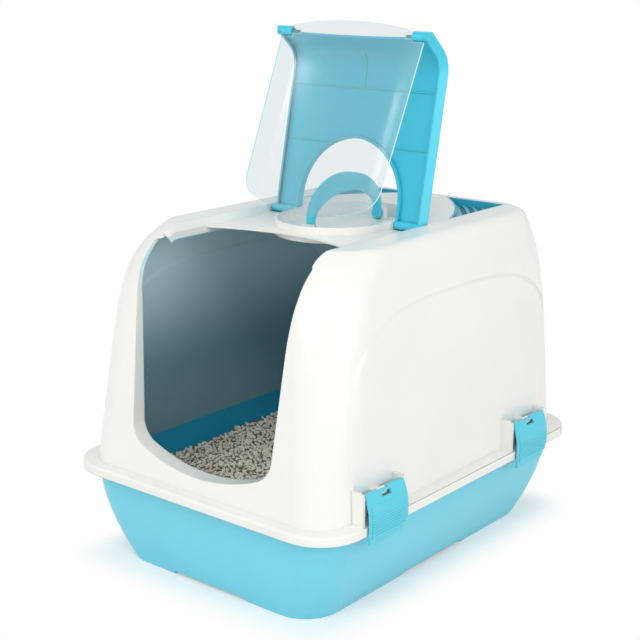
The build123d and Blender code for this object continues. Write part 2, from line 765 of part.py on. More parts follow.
def clip_face(z):
    """How far out the clip's face is at a height."""
    if z > clip_bulge_z:
        share = (z - clip_bulge_z) / (clip_top_z - clip_bulge_z)
        return clip_bulge_x - (clip_bulge_x - clip_top_x) * share**2
    share = (clip_bulge_z - z) / (clip_bulge_z - clip_low_z)
    return clip_bulge_x - clip_tuck * share**2


# Clips: bowed plates with finger ribs, a window, knuckles round a pin, and a hook for the tray's lug
plate_heights = [clip_low_z + (clip_top_z - clip_low_z) * step / clip_steps for step in range(clip_steps + 1)]
plate_face = [(clip_face(z), z) for z in reversed(plate_heights)]
plate_back = [(clip_face(z) - clip_wall, z) for z in plate_heights]
hook_tip = tray_lug_half_x + hook_gap
rib_count = int((clip_rib_top - clip_rib_low) / clip_rib_pitch)
rib_points = []
for rib in range(rib_count):
    rib_z = clip_rib_top - rib * clip_rib_pitch
    rib_points.append((clip_face(rib_z), rib_z))
    rib_points.append((clip_face(rib_z) + clip_rib_height, rib_z - clip_rib_pitch / 3))
    rib_points.append((clip_face(rib_z) + clip_rib_height, rib_z - 2 * clip_rib_pitch / 3))
rib_end = clip_rib_top - rib_count * clip_rib_pitch
rib_points.append((clip_face(rib_end), rib_end))
for rib in reversed(range(0, rib_count + 1, 2)):
    rib_z = clip_rib_top - rib * clip_rib_pitch
    rib_points.append((clip_face(rib_z) - clip_rib_root, rib_z))

for name, side, y in clips:
    with BuildPart() as clip:
        with BuildSketch(Plane.XZ.offset(-y)):
            with BuildLine():
                Polyline(plate_face + plate_back, close=True)
            make_face()
            with BuildLine():
                Polyline((clip_pivot_x, clip_pivot_z), (clip_pivot_x, clip_pivot_z + clip_knuckle_r),
                         (clip_top_x - clip_wall / 2, clip_top_z),
                         (clip_face(clip_pivot_z) - clip_wall / 2, clip_pivot_z), close=True)
            make_face()
            with Locations((clip_pivot_x, clip_pivot_z)):
                Circle(clip_knuckle_r)
        extrude(amount=clip_width / 2, both=True)
        with BuildSketch(Plane.XZ.offset(-y)):
            with BuildLine():
                Polyline(rib_points, close=True)
            make_face()
        extrude(amount=clip_width / 2 - clip_rib_margin, both=True)
        with BuildSketch(Plane.XZ.offset(-y)):
            with BuildLine():
                Polyline((clip_bulge_x - clip_wall, hook_top), (hook_tip, hook_top),
                         (hook_tip, hook_bottom + hook_slope), (clip_bulge_x - clip_wall, hook_bottom),
                         close=True)
            make_face()
        extrude(amount=hook_half, both=True)
        cut_block(clip_pivot_x - clip_knuckle_r - over, clip_pivot_x + lug_r + slide_gap / 2,
                  y - clip_window / 2, y + clip_window / 2,
                  clip_pivot_z - clip_knuckle_r - over, clip_top_z + over)
        cut_block(clip_pivot_x, clip_bulge_x, y - clip_window / 2, y + clip_window / 2,
                  clip_window_low, clip_window_high)
        cut_rod((clip_pivot_x, y - clip_pin_half, clip_pivot_z),
                (clip_pivot_x, y + clip_pin_half, clip_pivot_z), pin_r + pin_run)
        corner_y = y + clip_width / 2
        with BuildSketch(Plane.YZ.offset(clip_pivot_x)):
            with BuildLine():
                Polyline((corner_y, clip_low_z + clip_corner_height),
                         (corner_y - clip_corner_width, clip_low_z), (corner_y, clip_low_z), close=True)
            make_face()
        extrude(amount=clip_bulge_x + clip_wall - clip_pivot_x, mode=Mode.SUBTRACT)
    shaped = clip.part if side > 0 else mirror(clip.part, about=Plane.YZ)
    shaped.label = f"clip_{name}"
    export_step(shaped, f"parts/clip_{name}.step")

    pin_x = side * clip_pivot_x
    pin_half = clip_pin_half - seat_gap
    clip_pin = pin((pin_x, y - pin_half, clip_pivot_z), (pin_x, y + pin_half, clip_pivot_z))
    clip_pin.label = f"clip_pin_{name}"
    export_step(clip_pin, f"parts/clip_pin_{name}.step")


# Vent grilles: sunk trays with curved slots, held by a lip below the top
arc = ThreePointArc((vent_side_x, vent_side_front), (vent_arc_mid_x, vent_arc_mid_y),
                    (vent_back_inner, vent_back_y))
arc_centre = arc.arc_center
arc_radius = arc.radius
vent_low = hood_top - vent_depth
vent_outer = vent_prism(0, vent_low, hood_top - seat_gap)
vent_lip_ring = vent_prism(vent_lip, deck_under - seat_gap - vent_lip_thick, deck_under - seat_gap)
vent_inner = vent_prism(-vent_wall, vent_low + vent_floor, hood_top)
vent_slot_area = vent_prism(-2 * vent_wall, vent_low - over, vent_low + vent_floor + over)

with BuildPart() as vent_slot_bars:
    with BuildSketch(Plane.XY.offset(vent_low - over)):
        for slot in reversed(range(vent_slots)):
            start = arc_radius + vent_edge + slot * (vent_slot + vent_bar)
            with Locations((arc_centre.X, arc_centre.Y)):
                Circle(start + vent_slot)
                Circle(start, mode=Mode.SUBTRACT)
    extrude(amount=vent_floor + 2 * over)
    add(vent_slot_area, mode=Mode.INTERSECT)

with BuildPart() as vent_grille:
    add(vent_outer)
    add(vent_lip_ring)
    add(vent_inner, mode=Mode.SUBTRACT)
    add(vent_slot_bars.part, mode=Mode.SUBTRACT)

for name, side in (("left", -1), ("right", 1)):
    shaped = vent_grille.part if side > 0 else mirror(vent_grille.part, about=Plane.YZ)
    shaped.label = f"vent_grille_{name}"
    export_step(shaped, f"parts/vent_grille_{name}.step")
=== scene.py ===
import json
import math
import random

import bmesh
import bpy
from mathutils import Matrix, Vector, noise


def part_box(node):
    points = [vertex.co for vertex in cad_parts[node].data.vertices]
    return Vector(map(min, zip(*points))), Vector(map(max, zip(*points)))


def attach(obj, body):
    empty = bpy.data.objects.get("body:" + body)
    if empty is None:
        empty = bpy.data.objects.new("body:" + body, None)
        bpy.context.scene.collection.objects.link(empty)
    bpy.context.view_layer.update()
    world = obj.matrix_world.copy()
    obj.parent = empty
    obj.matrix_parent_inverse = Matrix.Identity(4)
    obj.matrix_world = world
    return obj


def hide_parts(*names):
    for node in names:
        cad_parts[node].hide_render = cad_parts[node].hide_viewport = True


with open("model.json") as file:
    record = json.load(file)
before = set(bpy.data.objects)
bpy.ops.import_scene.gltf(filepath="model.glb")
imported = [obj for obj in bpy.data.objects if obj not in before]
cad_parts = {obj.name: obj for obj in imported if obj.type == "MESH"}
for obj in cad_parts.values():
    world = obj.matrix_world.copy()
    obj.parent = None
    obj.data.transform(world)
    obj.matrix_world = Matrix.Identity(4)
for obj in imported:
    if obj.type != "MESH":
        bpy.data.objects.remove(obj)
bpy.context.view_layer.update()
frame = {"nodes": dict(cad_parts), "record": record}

# Camera, fitted to the photograph: angles in degrees, its place and reach in metres, the rest in mm
CAMERA_AZIMUTH = 39.496
CAMERA_ELEVATION = 15.106
CAMERA_PLACE = (0.97021, -1.19784, 0.67852)
CAMERA_LENS = 76.648
CAMERA_SENSOR = 36.0
CAMERA_REACH = 50.0

# Colours, as linear values
PURE_WHITE = (1.0, 1.0, 1.0, 1.0)
SKY_BLUE = (0.185, 0.680, 0.820)
TURQUOISE = (0.060, 0.600, 0.770)
# Painted shade: a darker copy of the lid's turquoise for the recessed vents
VENT_PAINTED_SHADE_TURQUOISE = (0.058, 0.480, 0.630)
# Painted light: a lighter copy of the lid's turquoise for the clips
CLIP_PAINTED_LIGHT_TURQUOISE = (0.105, 0.620, 0.770)
WARM_WHITE = (0.870, 0.862, 0.825)
# Painted light and shade on the hood's inner walls: a bluish grey, lighter towards the top
HOOD_INSIDE_PAINTED_LIGHT = (0.700, 0.940, 1.000)
HOOD_INSIDE_PAINTED_SHADE = (0.230, 0.410, 0.490)
# Painted shade: a deeper, darker blue on the tray's inner walls
TRAY_INSIDE_PAINTED_SHADE = (0.005, 0.400, 0.660)
CLEAR_TINT = (0.908, 0.916, 0.920, 1.0)
CLEAR_VEIL = (0.700, 0.950, 1.000, 1.0)
LITTER_TONES = {
    # The darkest stop is painted shade, used only by the bed below the granules, which shows between them
    0.00: (0.24, 0.21, 0.16),
    0.12: (0.86, 0.78, 0.60),
    0.55: (1.00, 0.94, 0.78),
    1.00: (1.00, 0.99, 0.90),
}
FLOOR_BOUNCE = (0.80, 0.80, 0.80, 1.0)
FLOOR_NEAR = (0.70, 0.67, 0.66, 1.0)
# The glow whitens the seen floor near the object; its bluish tint is painted into the shadow there
FLOOR_GLOW_AND_SHADOW_TINT = (0.76, 0.80, 0.81, 1.0)
ROOM_FILL = (0.95, 0.98, 1.0, 1.0)
WARM_LAMP = (1.0, 0.98, 0.94)
FRONT_LAMP = (1.0, 0.98, 0.95)
WHITE_LAMP = (1.0, 1.0, 1.0)

# Strengths of the seen floor's glow near the object, and of the room's fill
GLOW_STRENGTH = 0.39
FILL_STRENGTH = 0.73

# Moulded plastic: sizes in metres, scales per metre
SKIN_SCALE = 900.0
SKIN_DEPTH = 0.0002
FLOW_SCALE = 9.0
FLOW_SPREAD = (0.3, 0.7)
FLOW_DARKER = 0.965
# Painted highlight along outer edges and painted shade in corners and creases
EDGE_HIGHLIGHT_POWER = 0.78
CORNER_SHADE_FACTOR = 0.45
CORNER_SHADE_REACH = 0.0035
BEVEL_SAMPLES = 6

# The raised arch on each side of the hood, in metres
PANEL_MIDDLE_Y = 0.010
PANEL_HALF_Y = 0.198
PANEL_LOW_Z = 0.150
PANEL_HIGH = 0.177
PANEL_POWER = 3.5
PANEL_RELIEF = 0.0020

# The back of the doorway's reveal: where it starts above the flange, and how far it leans per metre
REVEAL_BACK_LOW = -0.2105
REVEAL_BACK_LEAN = 0.0787
FLANGE_TOP = 0.117

# The door's sheet: the way it faces, its rolled sides and waves, and how much of the veil shows
DOOR_FACES = (0.0, 0.9135, -0.4067)
DOOR_ROLL_HEIGHT = 0.0016
DOOR_WAVE_SCALE = 6.0
VEIL_SHARE = 0.070
# Painted sheen: more veil towards the sheet's sides; painted highlight: a white veil on its cut edges
SIDE_SHEEN_SHARE = 0.06
RIM_HIGHLIGHT_SHARE = 0.8

# Half the width and length of the tray's foot on the floor, in metres
FOOT_HALF_X = 0.145
FOOT_HALF_Y = 0.211
FLOOR_SIZE = 40

# Where a mask starts and where it is full. Places are in metres, turns are parts of a unit normal.
FACING_IN = (-0.02, -0.05)
FACING_DOWN = (-0.5, -0.8)
FACING_ACROSS = (0.6, 0.4)
BEHIND_REVEAL = (-0.001, 0.001)
WITHIN_CHEEKS = (0.172, 0.170)
BELOW_SHELF = (0.372, 0.368)
ABOVE_TRAY_FOOT = (0.006, 0.010)
# Where the painted light on the hood's inner walls rises towards the top
INSIDE_PAINTED_LIGHT_RISE = (0.19, 0.32)
HOOD_SIDE = (0.4, 0.7)
PANEL_EDGE = (1.06, 0.94)
# Where the painted edge highlight and the painted corner shade start
EDGE_HIGHLIGHT_TURN = (0.995, 0.90)
CORNER_SHADE_OPEN = (0.85, 0.35)
DOOR_SIDE = (0.070, 0.104)
# Where the painted highlight on the door's cut edges starts
DOOR_RIM_HIGHLIGHT = (0.70, 0.40)
BELOW_TAB = (0.590, 0.586)
SHADOW_REACH = (0.004, 0.065)

# The litter, in metres: a lumpy bed a little inside its block, with granules over it
SEED = 7
GRAIN = 0.0047
LITTER_DROP = 0.0016
LITTER_GAP = 0.0012
LITTER_CORNER = 0.040
LITTER_LUMP = 0.004
LITTER_LUMPS_PER_METRE = 14
BED_BELOW_GRAINS = 0.0006
BED_CELLS = 60
BED_HEM = (0.86, 0.9)
GRAIN_TOP = 0.0015
GRIT_SCALE = 1500.0
GRIT_DEPTH = 0.0004


def new_material(name):
    """An empty node material, its tree, and its output."""
    material = bpy.data.materials.new(name)
    material.use_nodes = True
    tree = material.node_tree
    tree.nodes.clear()
    output = tree.nodes.new("ShaderNodeOutputMaterial")
    return material, tree, output


def node(tree, kind, **values):
    """A node with its properties or input values set."""
    made = tree.nodes.new(kind)
    for name, value in values.items():
        if name in made.inputs:
            made.inputs[name].default_value = value
        else:
            setattr(made, name, value)
    return made


def maths(tree, operation, first, second=None):
    """One step of arithmetic; each value is a socket or a number."""
    step = node(tree, "ShaderNodeMath", operation=operation)
    for slot, value in enumerate((first, second)):
        if isinstance(value, (int, float)):
            step.inputs[slot].default_value = value
        elif value is not None:
            tree.links.new(value, step.inputs[slot])
    return step.outputs["Value"]


def times(tree, first, second):
    """The product of two values."""
    return maths(tree, "MULTIPLY", first, second)


def size_of(tree, value):
    """A value without its sign."""
    return maths(tree, "ABSOLUTE", value)


def between(tree, value, start, full):
    """A mask: 0 before the start, 1 past the full value, smooth in between; it may run downwards."""
    span = node(tree, "ShaderNodeMapRange", interpolation_type="SMOOTHSTEP")
    tree.links.new(value, span.inputs["Value"])
    span.inputs["From Min"].default_value = start
    span.inputs["From Max"].default_value = full
    return span.outputs["Result"]


def split(tree, vector):
    """The three parts of a vector."""
    parts = tree.nodes.new("ShaderNodeSeparateXYZ")
    tree.links.new(vector, parts.inputs["Vector"])
    return parts.outputs["X"], parts.outputs["Y"], parts.outputs["Z"]


def object_noise(tree, scale, detail):
    """Noise in object space, which is the frame's own space."""
    coordinates = tree.nodes.new("ShaderNodeTexCoord")
    texture = node(tree, "ShaderNodeTexNoise", Scale=scale, Detail=detail)
    tree.links.new(coordinates.outputs["Object"], texture.inputs["Vector"])
    return texture.outputs["Fac"]


def raised(tree, height, strength, distance, surface=None):
    """The normal of a surface that a height lifts."""
    bump = node(tree, "ShaderNodeBump", Strength=strength, Distance=distance)
    tree.links.new(height, bump.inputs["Height"])
    if surface:
        tree.links.new(surface, bump.inputs["Normal"])
    return bump.outputs["Normal"]


def turned_from(tree, first, second):
    """How far two directions agree: 1 where they are the same. The second may be three numbers."""
    product = node(tree, "ShaderNodeVectorMath", operation="DOT_PRODUCT")
    tree.links.new(first, product.inputs[0])
    if isinstance(second, tuple):
        product.inputs[1].default_value = second
    else:
        tree.links.new(second, product.inputs[1])
    return product.outputs["Value"]


def colour_socket(sockets, name):
    """A mix node's colour input or output of that name."""
    return [socket for socket in sockets if socket.name == name and socket.type == "RGBA"][0]


def blend(tree, factor, first, second):
    """A colour between two; each is a socket or three numbers."""
    mix = node(tree, "ShaderNodeMix", data_type="RGBA")
    tree.links.new(factor, mix.inputs["Factor"])
    for name, colour in (("A", first), ("B", second)):
        socket = colour_socket(mix.inputs, name)
        if isinstance(colour, tuple):
            socket.default_value = (*colour, 1.0)
        else:
            tree.links.new(colour, socket)
    return colour_socket(mix.outputs, "Result")


def mixed_shader(tree, factor, first, second):
    """The first shader where the factor is 0 and the second where it is 1."""
    mix = tree.nodes.new("ShaderNodeMixShader")
    tree.links.new(factor, mix.inputs["Fac"])
    tree.links.new(first, mix.inputs[1])
    tree.links.new(second, mix.inputs[2])
    return mix.outputs["Shader"]


def facing_in(tree, place, facing):
    """1 on walls that look towards the object's middle."""
    across = times(tree, facing[0], place[0])
    along = times(tree, facing[1], place[1])
    return between(tree, maths(tree, "ADD", along, across), *FACING_IN)


def hood_painted_shade_mask(tree, place, facing):
    """Where the hood's painted inner shade goes: 1 on the hood's inner walls and ceiling, behind the
    doorway's reveal and below the recess.
    """
    x, y, z = place
    ceiling = between(tree, facing[2], *FACING_DOWN)
    walls = maths(tree, "MAXIMUM", facing_in(tree, place, facing), ceiling)
    lean = times(tree, maths(tree, "SUBTRACT", z, FLANGE_TOP), REVEAL_BACK_LEAN)
    past_reveal = maths(tree, "SUBTRACT", y, maths(tree, "ADD", lean, REVEAL_BACK_LOW))
    walls = times(tree, walls, between(tree, past_reveal, *BEHIND_REVEAL))
    across = between(tree, size_of(tree, facing[1]), *FACING_ACROSS)
    within = between(tree, size_of(tree, x), *WITHIN_CHEEKS)
    walls = times(tree, walls, maths(tree, "MAXIMUM", across, within))
    return times(tree, walls, between(tree, z, *BELOW_SHELF))


def paint_hood_inside_light_and_shade(tree, tint, place, facing):
    """Painted light and shade inside the hood: a bluish grey on its inner walls, lighter towards its top.
    """
    # Painted light and shade: lighter towards the top, darker below
    painted_inner_shade = blend(tree, between(tree, place[2], *INSIDE_PAINTED_LIGHT_RISE), HOOD_INSIDE_PAINTED_SHADE, HOOD_INSIDE_PAINTED_LIGHT)
    return blend(tree, hood_painted_shade_mask(tree, place, facing), tint, painted_inner_shade)


def paint_tray_inside_shade(tree, tint, place, facing):
    """Painted shade: a deeper, darker blue on the tray's inner walls."""
    # Painted shade on the tray's inner walls above its foot
    inner = times(tree, facing_in(tree, place, facing), between(tree, place[2], *ABOVE_TRAY_FOOT))
    return blend(tree, inner, tint, TRAY_INSIDE_PAINTED_SHADE)


def side_panel(tree, place, facing):
    """The raised arch on each side of the hood: 1 inside it, 0 outside."""
    off_middle = size_of(tree, maths(tree, "SUBTRACT", place[1], PANEL_MIDDLE_Y))
    along = maths(tree, "DIVIDE", off_middle, PANEL_HALF_Y)
    above = maths(tree, "MAXIMUM", maths(tree, "SUBTRACT", place[2], PANEL_LOW_Z), 0.0)
    high = maths(tree, "DIVIDE", above, PANEL_HIGH)
    along_power = maths(tree, "POWER", along, PANEL_POWER)
    high_power = maths(tree, "POWER", high, PANEL_POWER)
    within = between(tree, maths(tree, "ADD", along_power, high_power), *PANEL_EDGE)
    return times(tree, within, between(tree, size_of(tree, facing[0]), *HOOD_SIDE))


def flowing_tint(tree, colour):
    """The colour, a little darker in broad patches."""
    ramp = tree.nodes.new("ShaderNodeValToRGB")
    darker = tuple(FLOW_DARKER * part for part in colour)
    for stop, place, tone in zip(ramp.color_ramp.elements, FLOW_SPREAD, (darker, colour)):
        stop.position = place
        stop.color = (*tone, 1.0)
    tree.links.new(object_noise(tree, FLOW_SCALE, 3.0), ramp.inputs["Fac"])
    return ramp.outputs["Color"]


def paint_edge_highlight_and_corner_shade(tree, tint, colour, edge):
    """Painted highlight and shade: the colour lighter along outer edges and darker in corners and
    creases.
    """
    soften = node(tree, "ShaderNodeBevel", samples=BEVEL_SAMPLES, Radius=edge)
    surface = tree.nodes.new("ShaderNodeNewGeometry").outputs["Normal"]
    turn = turned_from(tree, soften.outputs["Normal"], surface)
    lighter = tuple(part ** EDGE_HIGHLIGHT_POWER for part in colour)
    # The lighter edges are a painted highlight
    tint = blend(tree, between(tree, turn, *EDGE_HIGHLIGHT_TURN), tint, lighter)
    # The darker corners and creases are painted shade
    corner = node(tree, "ShaderNodeAmbientOcclusion", samples=4, Distance=CORNER_SHADE_REACH)
    darker = tuple(CORNER_SHADE_FACTOR * part for part in colour)
    return blend(tree, between(tree, corner.outputs["AO"], *CORNER_SHADE_OPEN), tint, darker)


def plastic_skin(tree, grain, edge, relief):
    """The normal of a fine moulded skin over softened edges, and over a relief where there is one."""
    skin = object_noise(tree, SKIN_SCALE, 2.0)
    soften = node(tree, "ShaderNodeBevel", samples=BEVEL_SAMPLES, Radius=edge)
    surface = soften.outputs["Normal"]
    if relief:
        surface = raised(tree, relief, 1.0, PANEL_RELIEF, surface)
    return raised(tree, skin, grain, SKIN_DEPTH, surface)


def moulded_plastic(name, colour, roughness, grain, edge, paint=None, relief=None, edge_highlight_and_corner_shade=False):
    """Injection-moulded plastic: faint flow in the colour, a fine skin and softened edges.

    paint colours some of its faces, with painted light and shade inside the hood and painted shade inside
    the tray;
    relief marks what stands out of the surface; and edge_highlight_and_corner_shade paints highlights
    along edges and shade in corners.
    """
    material, tree, output = new_material(name)
    shader = node(tree, "ShaderNodeBsdfPrincipled", Roughness=roughness, IOR=1.49)
    coordinates = tree.nodes.new("ShaderNodeTexCoord")
    place = split(tree, coordinates.outputs["Object"])
    facing = split(tree, coordinates.outputs["Normal"])
    tint = flowing_tint(tree, colour)
    # Painted highlight on edges and painted shade in corners
    if edge_highlight_and_corner_shade:
        tint = paint_edge_highlight_and_corner_shade(tree, tint, colour, edge)
    if paint:
        tint = paint(tree, tint, place, facing)
    tree.links.new(tint, shader.inputs["Base Color"])
    surface = plastic_skin(tree, grain, edge, relief(tree, place, facing) if relief else None)
    tree.links.new(surface, shader.inputs["Normal"])
    tree.links.new(shader.outputs["BSDF"], output.inputs["Surface"])
    return material


def door_rim_highlight_mask(tree, coordinates, z):
    """Where the painted highlight goes: 1 on the sheet's cut edges, below the tab at its top."""
    across = turned_from(tree, coordinates.outputs["Normal"], DOOR_FACES)
    return times(tree, between(tree, size_of(tree, across), *DOOR_RIM_HIGHLIGHT), between(tree, z, *BELOW_TAB))


def clear_plastic(name):
    """A thin clear sheet: see-through with a faint veil, glossy, with rolled sides; more veil towards its
    sides is painted sheen, and a white veil on its cut edges is a painted highlight.
    """
    material, tree, output = new_material(name)
    coordinates = tree.nodes.new("ShaderNodeTexCoord")
    x, _, z = split(tree, coordinates.outputs["Object"])
    clear = node(tree, "ShaderNodeBsdfTransparent", Color=CLEAR_TINT).outputs["BSDF"]
    veil = node(tree, "ShaderNodeBsdfDiffuse", Color=CLEAR_VEIL).outputs["BSDF"]
    gloss = node(tree, "ShaderNodeBsdfGlossy", Color=PURE_WHITE, Roughness=0.09)
    fresnel = node(tree, "ShaderNodeFresnel", IOR=1.50)
    side = between(tree, size_of(tree, x), *DOOR_SIDE)
    roll = maths(tree, "ADD", side, object_noise(tree, DOOR_WAVE_SCALE, 0.0))
    surface = raised(tree, roll, 1.0, DOOR_ROLL_HEIGHT)
    tree.links.new(surface, gloss.inputs["Normal"])
    tree.links.new(surface, fresnel.inputs["Normal"])
    # More veil towards the sides is painted sheen
    veil_and_side_sheen = maths(tree, "ADD", times(tree, side, SIDE_SHEEN_SHARE), VEIL_SHARE)
    sheet = mixed_shader(tree, veil_and_side_sheen, clear, veil)
    # A white veil on the cut edges is a painted highlight
    sheet = mixed_shader(tree, times(tree, door_rim_highlight_mask(tree, coordinates, z), RIM_HIGHLIGHT_SHARE), sheet, veil)
    backfacing = tree.nodes.new("ShaderNodeNewGeometry").outputs["Backfacing"]
    front = maths(tree, "SUBTRACT", 1.0, backfacing)
    sheet = mixed_shader(tree, times(tree, fresnel.outputs["Fac"], front), sheet, gloss.outputs["BSDF"])
    tree.links.new(sheet, output.inputs["Surface"])
    return material


def granule_clay(name):
    """Clay granules, each with its own tone."""
    material, tree, output = new_material(name)
    shader = node(tree, "ShaderNodeBsdfPrincipled", Roughness=0.85)
    shade = node(tree, "ShaderNodeAttribute", attribute_name="shade")
    ramp = tree.nodes.new("ShaderNodeValToRGB")
    stops = ramp.color_ramp.elements
    for place, colour in LITTER_TONES.items():
        stop = {0.0: stops[0], 1.0: stops[-1]}.get(place) or stops.new(place)
        stop.color = (*colour, 1.0)
    tree.links.new(shade.outputs["Fac"], ramp.inputs["Fac"])
    tree.links.new(ramp.outputs["Color"], shader.inputs["Base Color"])
    grit = raised(tree, object_noise(tree, GRIT_SCALE, 2.0), 0.5, GRIT_DEPTH)
    tree.links.new(grit, shader.inputs["Normal"])
    tree.links.new(shader.outputs["BSDF"], output.inputs["Surface"])
    return material


sky_plastic = moulded_plastic("tray_sky_plastic", SKY_BLUE, roughness=0.36, grain=0.06, edge=0.0016,
                              paint=paint_tray_inside_shade)
white_plastic = moulded_plastic("hood_white_plastic", WARM_WHITE, roughness=0.22, grain=0.03, edge=0.0018,
                                paint=paint_hood_inside_light_and_shade, relief=side_panel)
turquoise_plastic = moulded_plastic("lid_turquoise_plastic", TURQUOISE, roughness=0.30, grain=0.05,
                                    edge=0.0010, edge_highlight_and_corner_shade=True)
clip_painted_light_plastic = moulded_plastic("clip_turquoise_painted_light", CLIP_PAINTED_LIGHT_TURQUOISE, roughness=0.32, grain=0.05,
                                 edge=0.0006, edge_highlight_and_corner_shade=True)
vent_painted_shade_plastic = moulded_plastic("vent_turquoise_painted_shade", VENT_PAINTED_SHADE_TURQUOISE, roughness=0.36, grain=0.05,
                               edge=0.0006, edge_highlight_and_corner_shade=True)
door_plastic = clear_plastic("door_clear_plastic")
clay = granule_clay("litter_clay")


def finish_cad_nodes():
    """Gives every CAD node the material of its slot, with painted light on the clips (a lighter copy of
    the lid's turquoise) and painted shade on the vents (a darker copy).
    """
    finishes = {
        "tray_plastic": sky_plastic,
        "hood_plastic": white_plastic,
        "lid_plastic": turquoise_plastic,
        "pin_plastic": turquoise_plastic,
        "clear_plastic": door_plastic,
        "litter": clay,
    }
    for part in frame["record"]["subparts"]:
        shape = frame["nodes"][part["node"]]
        finish = finishes[part["material_slot"]]
        # Painted light: the clips take a lighter copy of the lid's turquoise
        if part["node"].startswith("clip_"):
            finish = clip_painted_light_plastic
        # Painted shade: the vents take a darker copy of it
        if part["node"].startswith("vent_"):
            finish = vent_painted_shade_plastic
        shape.data.materials.clear()
        shape.data.materials.append(finish)


finish_cad_nodes()

# The room that the litter has in its block
block_low, block_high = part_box("litter_bed")
litter_top = block_high.z - LITTER_DROP
litter_half_x = block_high.x - LITTER_GAP
litter_half_y = block_high.y - LITTER_GAP


def past_straights(x, y, margin=0.0):
    """How far a place lies past the straight sides, towards a rounded corner."""
    far_x = abs(x) - (litter_half_x - margin - LITTER_CORNER)
    far_y = abs(y) - (litter_half_y - margin - LITTER_CORNER)
    return far_x, far_y


def within_litter(x, y, margin):
    """Whether a place lies inside the litter's rounded outline."""
    far_x, far_y = past_straights(x, y, margin)
    if far_x > 0 and far_y > 0:
        return math.hypot(far_x, far_y) < LITTER_CORNER
    return abs(x) < litter_half_x - margin and abs(y) < litter_half_y - margin


def litter_height(x, y):
    """The bed's lumpy top."""
    place = Vector((x * LITTER_LUMPS_PER_METRE, y * LITTER_LUMPS_PER_METRE, 0.3))
    return litter_top - LITTER_LUMP + LITTER_LUMP * noise.noise(place)


def round_lump():
    """The corners and triangles of a coarse ball."""
    ball = bmesh.new()
    bmesh.ops.create_icosphere(ball, subdivisions=1, radius=1.0)
    points = [vert.co.copy() for vert in ball.verts]
    faces = [[vert.index for vert in face.verts] for face in ball.faces]
    ball.free()
    return points, faces


def add_granule(bm, rng, x, y, radius, lump):
    """One granule: a ball squashed, turned and dented by chance."""
    shade = bm.faces.layers.float["shade"]
    points, faces = lump
    z = litter_height(x, y) + rng.uniform(-0.4, 0.5) * GRAIN
    tone = rng.uniform(0.15, 1.0)
    angle = rng.uniform(0, math.tau)
    axle = Vector((rng.random(), rng.random(), rng.random() + 0.1))
    spin = Matrix.Rotation(angle, 3, axle)
    stretch = Vector((rng.uniform(0.7, 1.2), rng.uniform(0.7, 1.2), rng.uniform(0.55, 0.9)))
    corners = []
    for point in points:
        arm = point * radius * rng.uniform(0.85, 1.1)
        arm = spin @ Vector(a * s for a, s in zip(arm, stretch))
        corners.append(bm.verts.new((x + arm.x, y + arm.y, min(z + arm.z, litter_top + GRAIN_TOP))))
    for triangle in faces:
        face = bm.faces.new([corners[index] for index in triangle])
        face[shade] = tone


def make_granules():
    """Loose granules over the whole bed, one to a cell."""
    rng = random.Random(SEED)
    lump = round_lump()
    mesh = bpy.data.meshes.new("litter_granules")
    bm = bmesh.new()
    bm.faces.layers.float.new("shade")
    for row in range(int(2 * litter_half_y / GRAIN)):
        for column in range(int(2 * litter_half_x / GRAIN)):
            x = -litter_half_x + (column + 0.5 + rng.uniform(-0.35, 0.35)) * GRAIN
            y = -litter_half_y + (row + 0.5 + rng.uniform(-0.35, 0.35)) * GRAIN
            radius = GRAIN * rng.uniform(0.40, 0.65)
            if within_litter(x, y, radius):
                add_granule(bm, rng, x, y, radius, lump)
    bm.to_mesh(mesh)
    bm.free()
    mesh.materials.append(clay)
    granules = bpy.data.objects.new("litter_granules", mesh)
    bpy.context.scene.collection.objects.link(granules)
    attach(granules, "tray")


def bed_point(row, column):
    """A point of the bed's top, drawn in where the outline's corner is round."""
    x = -litter_half_x + 2 * litter_half_x * column / BED_CELLS
    y = -litter_half_y + 2 * litter_half_y * row / BED_CELLS
    far_x, far_y = past_straights(x, y)
    if far_x > 0 and far_y > 0 and math.hypot(far_x, far_y) > LITTER_CORNER:
        pull = LITTER_CORNER / math.hypot(far_x, far_y)
        x = math.copysign(litter_half_x - LITTER_CORNER + far_x * pull, x)
        y = math.copysign(litter_half_y - LITTER_CORNER + far_y * pull, y)
    return x, y, litter_height(x, y) - BED_BELOW_GRAINS


def make_bed():
    """The bed below the granules: a lumpy top with sides that draw in to a flat bottom, in the darkest
    tone as painted shade between the granules.
    """
    mesh = bpy.data.meshes.new("litter_bed_fill")
    bm = bmesh.new()
    ends = range(BED_CELLS + 1)
    top = [[bm.verts.new(bed_point(row, column)) for column in ends] for row in ends]
    for near, far in zip(top, top[1:]):
        for column in range(BED_CELLS):
            bm.faces.new((near[column], near[column + 1], far[column + 1], far[column]))
    rim = [edge for edge in bm.edges if edge.is_boundary]
    skirt = bmesh.ops.extrude_edge_only(bm, edges=rim)
    for vert in skirt["geom"]:
        if isinstance(vert, bmesh.types.BMVert):
            vert.co.z = block_low.z
            vert.co.x *= BED_HEM[0]
            vert.co.y *= BED_HEM[1]
    bmesh.ops.holes_fill(bm, edges=[edge for edge in bm.edges if edge.is_boundary])
    bmesh.ops.recalc_face_normals(bm, faces=bm.faces)
    shade = bm.faces.layers.float.new("shade")
    # The bed takes the darkest tone: painted shade that shows in the gaps between granules
    for face in bm.faces:
        face[shade] = 0.0
    bm.to_mesh(mesh)
    bm.free()
    mesh.materials.append(clay)
    bed = bpy.data.objects.new("litter_fill", mesh)
    bpy.context.scene.collection.objects.link(bed)
    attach(bed, "tray")
    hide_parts("litter_bed")


make_granules()
make_bed()


